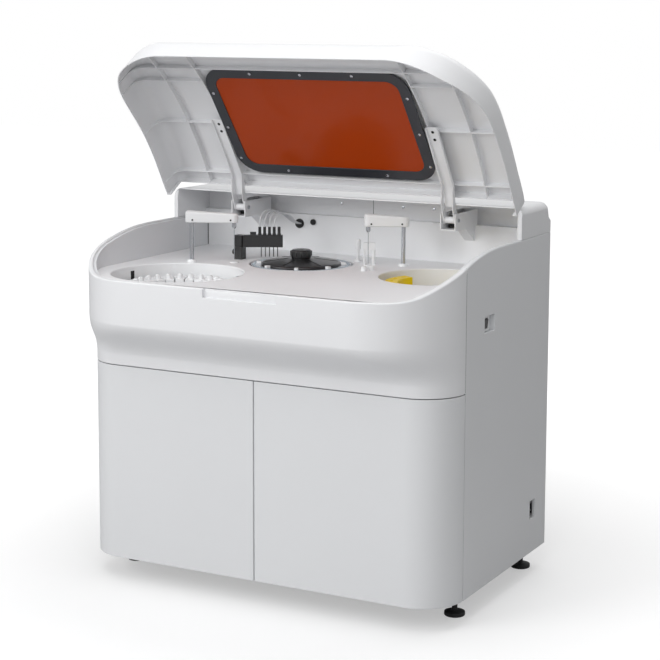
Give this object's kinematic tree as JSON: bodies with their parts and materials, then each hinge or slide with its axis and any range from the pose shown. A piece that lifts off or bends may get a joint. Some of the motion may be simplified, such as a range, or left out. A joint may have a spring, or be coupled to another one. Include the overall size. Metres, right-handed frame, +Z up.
{
  "type": "chemistry analyzer",
  "caption": "Floor-standing automatic chemistry analyzer with a flared cover, cabinet doors and a hinged window lid over carousels, probe arms and a wash station.",
  "frame": {"origin": "on the floor, under the middle of the casing", "axes": "+Z up, +X to the right seen from the front, +Y to the rear; the doors face -Y"},
  "size_m": [1.0414, 0.752, 1.3932],
  "materials": {
    "cover_white": "satin",
    "panel_white": "satin powder coat",
    "liner_grey": "matte",
    "inner_grey": "matte",
    "frame_steel": "satin",
    "black_plastic": "satin",
    "white_plastic": "satin",
    "yellow_plastic": "satin",
    "steel": "polished",
    "window_orange": "gloss",
    "natural_plastic": "translucent",
    "rubber_black": "matte",
    "hose_white": "satin"
  },
  "bodies": {
    "cabinet": {"front_cover": "cover_white", "deck": "cover_white", "rear_hood": "cover_white", "hinge_housings": "cover_white", "right_side_panel": "panel_white", "left_side_panel": "panel_white", "rear_panel": "panel_white", "side_liners": "liner_grey", "back_wall": "liner_grey", "base_pan": "inner_grey", "centre_partition": "inner_grey", "mechanism_plate": "inner_grey", "pump_shelf": "inner_grey", "power_supply": "inner_grey", "base_frame": "frame_steel", "door_hinges": "frame_steel", "wash_column": "black_plastic", "power_inlet": "black_plastic", "carousel_drives": "black_plastic", "rinse_bracket": "white_plastic", "control_cups": "white_plastic", "rinse_cups": "white_plastic", "post_guides": "white_plastic", "reagent_tub": "white_plastic", "reaction_bath": "white_plastic", "sample_tub": "white_plastic", "switch_bezel": "white_plastic", "syringe_pumps": "white_plastic", "lid_pivot_pins": "steel", "rinse_water_bottle": "natural_plastic", "waste_bottle": "natural_plastic", "levelling_feet": "rubber_black", "tube_grommets": "rubber_black", "wash_tube_1": "hose_white", "wash_tube_2": "hose_white", "wash_tube_3": "hose_white", "wash_tube_4": "hose_white"},
    "lid": {"lid_shell": "cover_white", "window_frame": "black_plastic", "lid_window": "window_orange", "right_lid_arm": "cover_white", "left_lid_arm": "cover_white"},
    "right_door": {"right_door": "panel_white"},
    "left_door": {"left_door": "panel_white"},
    "reagent_turntable": {"reagent_carousel": "white_plastic", "reagent_bottles": "white_plastic"},
    "reaction_turntable": {"cuvette_ring": "steel", "reaction_cover": "black_plastic", "ring_clips": "white_plastic"},
    "sample_turntable": {"sample_carousel": "white_plastic", "sample_adapters": "yellow_plastic"},
    "reagent_lift": {"reagent_post": "steel"},
    "reagent_swing": {"reagent_arm": "white_plastic", "reagent_probe": "steel"},
    "sample_lift": {"sample_post": "steel"},
    "sample_swing": {"sample_arm": "white_plastic", "sample_probe": "steel"},
    "wash_lift": {"wash_head": "black_plastic"},
    "stirrer_lift": {"stirrer": "white_plastic"},
    "rocker": {"power_rocker": "black_plastic"}
  },
  "joints": [
    {"name": "lid_hinge", "type": "hinge", "parent": "cabinet", "child": "lid", "pos_m": [0, 0.196, 0.94], "axis": [1, 0, 0], "range_deg": [0, 58.5]},
    {"name": "right_door_hinge", "type": "hinge", "parent": "cabinet", "child": "right_door", "pos_m": [0.488, -0.194, 0.316], "axis": [0, 0, 1], "range_deg": [0, 100]},
    {"name": "left_door_hinge", "type": "hinge", "parent": "cabinet", "child": "left_door", "pos_m": [-0.488, -0.194, 0.316], "axis": [0, 0, -1], "range_deg": [0, 100]},
    {"name": "reagent_turn", "type": "hinge", "parent": "cabinet", "child": "reagent_turntable", "pos_m": [-0.278, -0.184, 0.7], "axis": [0, 0, 1], "continuous": true},
    {"name": "reaction_turn", "type": "hinge", "parent": "cabinet", "child": "reaction_turntable", "pos_m": [-0.081, 0.113, 0.75], "axis": [0, 0, 1], "continuous": true},
    {"name": "sample_turn", "type": "hinge", "parent": "cabinet", "child": "sample_turntable", "pos_m": [0.331, 0.068, 0.72], "axis": [0, 0, 1], "continuous": true},
    {"name": "reagent_lift_slide", "type": "slide", "parent": "cabinet", "child": "reagent_lift", "axis": [0, 0, 1], "range_m": [-0.07, 0]},
    {"name": "reagent_swing_hinge", "type": "hinge", "parent": "reagent_lift", "child": "reagent_swing", "pos_m": [-0.348, -0.006, 0.93], "axis": [0, 0, -1], "range_deg": [0, 92]},
    {"name": "sample_lift_slide", "type": "slide", "parent": "cabinet", "child": "sample_lift", "axis": [0, 0, 1], "range_m": [-0.07, 0]},
    {"name": "sample_swing_hinge", "type": "hinge", "parent": "sample_lift", "child": "sample_swing", "pos_m": [0.179, 0.198, 0.93], "axis": [0, 0, 1], "range_deg": [0, 113]},
    {"name": "wash_lift_slide", "type": "slide", "parent": "cabinet", "child": "wash_lift", "axis": [0, 0, 1], "range_m": [0, 0.02], "deforming": ["wash_tube_1", "wash_tube_2", "wash_tube_3", "wash_tube_4"]},
    {"name": "stirrer_lift_slide", "type": "slide", "parent": "cabinet", "child": "stirrer_lift", "axis": [0, 0, 1], "range_m": [0, 0.025]},
    {"name": "rocker_hinge", "type": "hinge", "parent": "cabinet", "child": "rocker", "pos_m": [0.511, -0.023, 0.721], "axis": [0, 1, 0], "range_deg": [-14, 0]}
  ]
}
